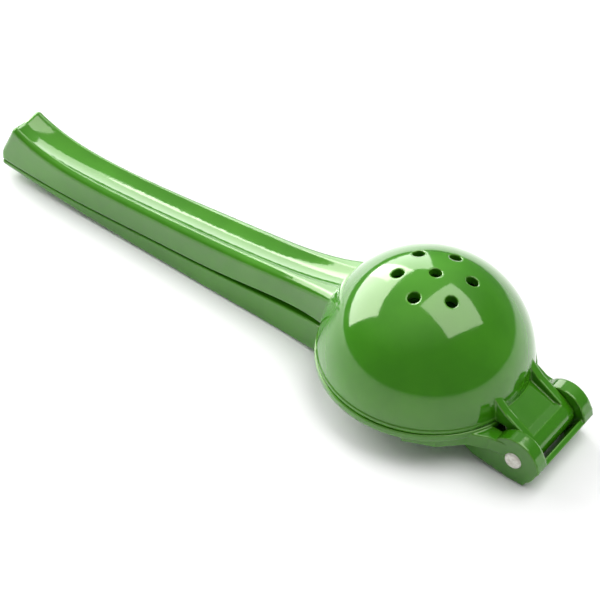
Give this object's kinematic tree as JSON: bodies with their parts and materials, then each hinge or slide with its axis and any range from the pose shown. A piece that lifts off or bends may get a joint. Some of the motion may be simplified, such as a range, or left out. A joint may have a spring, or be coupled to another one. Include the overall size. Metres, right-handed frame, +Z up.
{
  "type": "hinged citrus squeezer",
  "caption": "Hinged hand squeezer for citrus: a perforated strainer bowl casting and a domed presser casting, each with a long handle, joined by a hinge pin.",
  "frame": {"origin": "on the flat underside of the lower handle, midway between its two ends' resting stations, on the centre plane", "axes": "+X from the handles' tip towards the hinge, +Y along the hinge pin, +Z up as the closed tool lies with its strainer bowl uppermost"},
  "size_m": [0.2298, 0.0718, 0.0502],
  "materials": {
    "green_enamel_strainer": "gloss",
    "green_enamel_presser": "gloss",
    "pin_steel": "satin"
  },
  "bodies": {
    "presser": {"presser": "green_enamel_presser", "hinge_pin": "pin_steel"},
    "strainer": {"strainer_bowl": "green_enamel_strainer"}
  },
  "joints": [
    {"name": "squeezer_hinge", "type": "hinge", "parent": "presser", "child": "strainer", "pos_m": [0.1319, 0, 0.0085], "axis": [0, 1, 0], "range_deg": [0, 94]}
  ]
}
